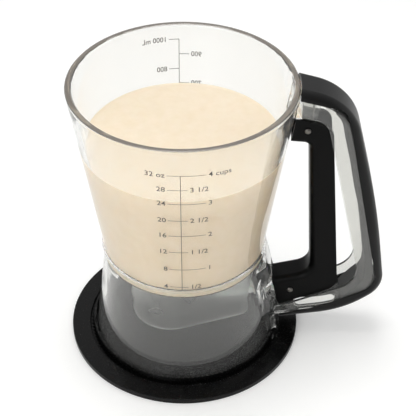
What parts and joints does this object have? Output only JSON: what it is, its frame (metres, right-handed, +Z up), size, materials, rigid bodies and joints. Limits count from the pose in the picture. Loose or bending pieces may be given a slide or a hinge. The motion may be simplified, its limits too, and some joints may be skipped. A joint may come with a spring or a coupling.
{
  "type": "pancake batter dispenser",
  "caption": "Clear hourglass batter hopper with printed volume scales, a loop handle, a squeeze trigger that slides a gate under the floor, and a round black drip tray",
  "frame": {"origin": "centre of the drip tray's underside, on the table", "axes": "+Z up through the rim, +X to the loop handle, the front scale faces -Y"},
  "size_m": [0.1982, 0.1468, 0.1868],
  "materials": {
    "black_plastic": "fine satin",
    "clear_plastic": "polished clear moulding",
    "soft_grip": "soft satin",
    "natural_plastic": "translucent moulding",
    "steel": "polished"
  },
  "bodies": {
    "tray": {"drip_tray": "black_plastic"},
    "dispenser": {"hopper_body": "clear_plastic", "handle_frame": "clear_plastic", "handle_grip": "soft_grip", "valve_housing": "clear_plastic", "housing_screws": "steel", "valve_seal": "soft_grip", "pivot_pin": "steel", "pivot_pin_retainer": "steel", "return_spring": "steel"},
    "trigger": {"trigger": "black_plastic", "link_pin": "steel", "link_pin_retainer": "steel"},
    "gate": {"gate_slide": "natural_plastic"}
  },
  "joints": [
    {"name": "dispenser_lift", "type": "slide", "parent": "tray", "child": "dispenser", "axis": [0, 0, 1], "range_m": [0, 0.2]},
    {"name": "trigger_hinge", "type": "hinge", "parent": "dispenser", "child": "trigger", "pos_m": [0.0709, 0, 0.1592], "axis": [0, -1, 0], "range_deg": [0, 7.45], "stiffness_Nm_per_rad": 0.8, "springref_deg": -11.46, "deforming": ["return_spring"]},
    {"name": "gate_slide_joint", "type": "slide", "parent": "dispenser", "child": "gate", "axis": [1, 0, 0], "range_m": [0, 0.01605]}
  ],
  "couplings": [
    {"joint": "gate_slide_joint", "follows": "trigger_hinge", "m_per_rad": 0.1233}
  ]
}
